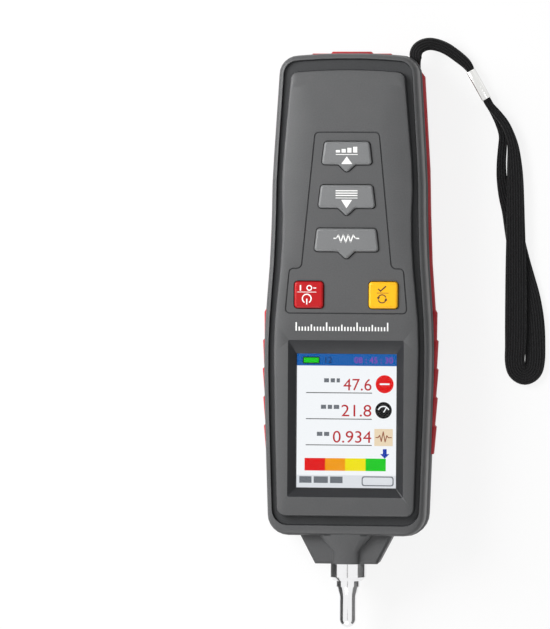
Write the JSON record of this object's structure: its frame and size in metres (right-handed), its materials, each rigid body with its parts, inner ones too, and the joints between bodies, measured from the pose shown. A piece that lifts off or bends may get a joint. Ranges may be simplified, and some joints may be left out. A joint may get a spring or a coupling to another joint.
{
  "type": "handheld vibration meter",
  "caption": "Handheld meter with a recessed colour screen, moulded keys, a rubber grip, a threaded vibration probe at one end and a wrist strap at the other.",
  "frame": {"origin": "middle of the back, halfway between the probe's tip and the rubber at the strap end", "axes": "+X across, towards the strap's side; +Y along, from the probe to the strap end; +Z out of the display"},
  "size_m": [0.1037, 0.2173, 0.031],
  "materials": {
    "front_plastic": "fine-textured moulded ABS",
    "rear_plastic": "fine-textured moulded ABS",
    "grip": "matt red moulded rubber",
    "window": "clear polished",
    "screen_glass": "polished",
    "backlight": "white diffuser",
    "foam": "black foam",
    "grey_key": "smooth moulded grey",
    "red_key": "smooth moulded red",
    "yellow_key": "smooth moulded yellow",
    "silicone": "grey silicone",
    "carbon_pill": "conductive carbon rubber",
    "gold_contact": "gold-plated copper",
    "board": "green solder mask",
    "black_package": "black epoxy",
    "cream_plastic": "moulded nylon",
    "flex_film": "amber film",
    "bright_metal": "bright",
    "steel": "zinc-plated steel",
    "spring_steel": "nickel-plated spring steel",
    "battery_label": "printed film over steel",
    "probe_chrome": "polished chrome plate",
    "ceramic": "fired ceramic",
    "mass_brass": "machined",
    "black_rubber": "black rubber",
    "strap_fabric": "woven black polyester"
  },
  "bodies": {
    "casing": {"front_shell": "front_plastic", "rear_shell": "rear_plastic", "grip_rubber": "grip", "display_window": "window", "display_foam": "foam", "display_glass": "screen_glass", "display_backlight": "backlight", "display_ribbon": "flex_film", "display_socket": "cream_plastic", "upper_key_skirt": "silicone", "middle_key_skirt": "silicone", "measure_key_skirt": "silicone", "power_key_skirt": "silicone", "enter_key_skirt": "silicone", "keypad_mat": "silicone", "key_contacts": "gold_contact", "main_board": "board", "processor_chip": "black_package", "signal_chip": "black_package", "board_capacitors": "bright_metal", "clock_crystal": "bright_metal", "sensor_socket": "cream_plastic", "board_screws": "steel", "case_screws": "steel", "battery_1": "battery_label", "battery_2": "battery_label", "battery_3": "battery_label", "battery_springs": "spring_steel", "battery_plates": "spring_steel", "sensor_collar": "probe_chrome", "sensor_isolator": "black_rubber", "piezo_rings": "ceramic", "seismic_mass": "mass_brass", "preload_screw": "steel", "sensor_can": "steel", "sensor_lead": "black_rubber", "strap_lead": "strap_fabric", "strap_crimp": "bright_metal", "strap_loop": "strap_fabric"},
    "upper_key": {"upper_key": "grey_key", "upper_key_pill": "carbon_pill"},
    "middle_key": {"middle_key": "grey_key", "middle_key_pill": "carbon_pill"},
    "measure_key": {"measure_key": "grey_key", "measure_key_pill": "carbon_pill"},
    "power_key": {"power_key": "red_key", "power_key_pill": "carbon_pill"},
    "enter_key": {"enter_key": "yellow_key", "enter_key_pill": "carbon_pill"},
    "cover": {"battery_cover": "rear_plastic"},
    "probe_seal": {"probe_o_ring": "black_rubber"},
    "probe": {"probe_tip": "probe_chrome"}
  },
  "joints": [
    {"name": "upper_key_press", "type": "slide", "parent": "casing", "child": "upper_key", "axis": [0, 0, -1], "range_m": [0, 0.0008], "stiffness_N_per_m": 1900, "deforming": ["upper_key_skirt"]},
    {"name": "middle_key_press", "type": "slide", "parent": "casing", "child": "middle_key", "axis": [0, 0, -1], "range_m": [0, 0.0008], "stiffness_N_per_m": 1900, "deforming": ["middle_key_skirt"]},
    {"name": "measure_key_press", "type": "slide", "parent": "casing", "child": "measure_key", "axis": [0, 0, -1], "range_m": [0, 0.0008], "stiffness_N_per_m": 1900, "deforming": ["measure_key_skirt"]},
    {"name": "power_key_press", "type": "slide", "parent": "casing", "child": "power_key", "axis": [0, 0, -1], "range_m": [0, 0.0008], "stiffness_N_per_m": 1900, "deforming": ["power_key_skirt"]},
    {"name": "enter_key_press", "type": "slide", "parent": "casing", "child": "enter_key", "axis": [0, 0, -1], "range_m": [0, 0.0008], "stiffness_N_per_m": 1900, "deforming": ["enter_key_skirt"]},
    {"name": "cover_hinge", "type": "hinge", "parent": "casing", "child": "cover", "pos_m": [0, 0.0904, 0.0012], "axis": [1, 0, 0], "range_deg": [0, 75]},
    {"name": "probe_advance", "type": "slide", "parent": "casing", "child": "probe_seal", "axis": [0, -1, 0], "range_m": [0, 0.0072]},
    {"name": "probe_turn", "type": "hinge", "parent": "probe_seal", "child": "probe", "pos_m": [0, -0.0886, 0.015], "axis": [0, -1, 0], "range_deg": [0, 3245]}
  ],
  "couplings": [
    {"joint": "probe_turn", "follows": "probe_advance", "rad_per_m": 7854}
  ]
}
